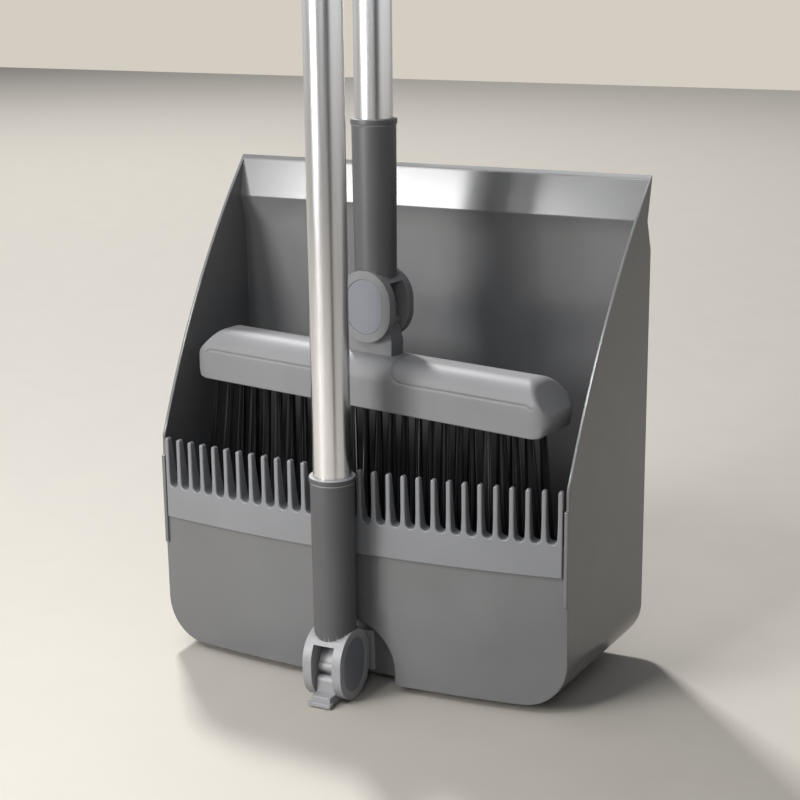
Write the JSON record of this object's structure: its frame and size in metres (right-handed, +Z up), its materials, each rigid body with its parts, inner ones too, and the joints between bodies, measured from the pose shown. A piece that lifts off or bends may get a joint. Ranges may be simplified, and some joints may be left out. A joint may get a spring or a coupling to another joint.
{
  "type": "dustpan and brush",
  "caption": "Long-handled dustpan with a comb and a folding handle, and a swivel-head broom stored upright inside it.",
  "frame": {"origin": "middle of the standing rim under the dustpan, on the surface it stands on", "axes": "+Z up along both handles, +X to the right across the pan, +Y from the front wall to the back panel"},
  "size_m": [0.276, 0.1602, 0.868],
  "materials": {
    "pan_plastic": "satin moulded dark grey",
    "comb_plastic": "satin light grey",
    "hinge_plastic": "fine spark texture, mid grey",
    "cap_plastic": "smooth bluish grey",
    "head_plastic": "satin light grey",
    "grip_plastic": "fine textured dark grey",
    "block_plastic": "matt black",
    "bristle_plastic": "glossy black filament",
    "tube_steel": "satin silver",
    "screw_steel": "zinc plated"
  },
  "bodies": {
    "dustpan": {"pan_shell": "pan_plastic", "comb_strip": "comb_plastic", "pan_hinge_tongue": "hinge_plastic", "pan_tongue_screws": "screw_steel"},
    "dustpan_handle": {"pan_hinge_socket": "hinge_plastic", "pan_hinge_cap_left": "cap_plastic", "pan_hinge_cap_right": "cap_plastic", "pan_pivot_bolt": "screw_steel", "pan_pivot_nut": "screw_steel", "pan_pivot_washers": "screw_steel", "pan_lower_tube": "tube_steel", "pan_tube_coupler": "hinge_plastic", "pan_upper_tube": "tube_steel", "pan_grip": "grip_plastic", "pan_grip_end": "hinge_plastic", "storage_clip": "hinge_plastic", "clip_screw": "screw_steel"},
    "broom_handle": {"broom_hinge_socket": "hinge_plastic", "broom_hinge_cap_front": "cap_plastic", "broom_hinge_cap_back": "cap_plastic", "broom_pivot_bolt": "screw_steel", "broom_pivot_nut": "screw_steel", "broom_pivot_washers": "screw_steel", "broom_lower_tube": "tube_steel", "broom_tube_coupler": "hinge_plastic", "broom_upper_tube": "tube_steel", "broom_grip": "grip_plastic", "broom_grip_end": "hinge_plastic"},
    "broom_head": {"broom_neck": "hinge_plastic", "head_cover": "head_plastic", "bristle_block": "block_plastic", "bristles": "bristle_plastic", "head_screws": "screw_steel"}
  },
  "joints": [
    {"name": "handle_fold", "type": "hinge", "parent": "dustpan", "child": "dustpan_handle", "pos_m": [0, -0.0827, 0.0216], "axis": [1, 0, 0], "range_deg": [0, 90]},
    {"name": "broom_lift", "type": "slide", "parent": "dustpan", "child": "broom_handle", "axis": [0, 0, 1], "range_m": [0, 0.24]},
    {"name": "head_swivel", "type": "hinge", "parent": "broom_handle", "child": "broom_head", "pos_m": [0, -0.026, 0.2225], "axis": [0.1219, 0.9925, 0], "range_deg": [-91.2, 88.8], "deforming": ["bristles"]}
  ]
}
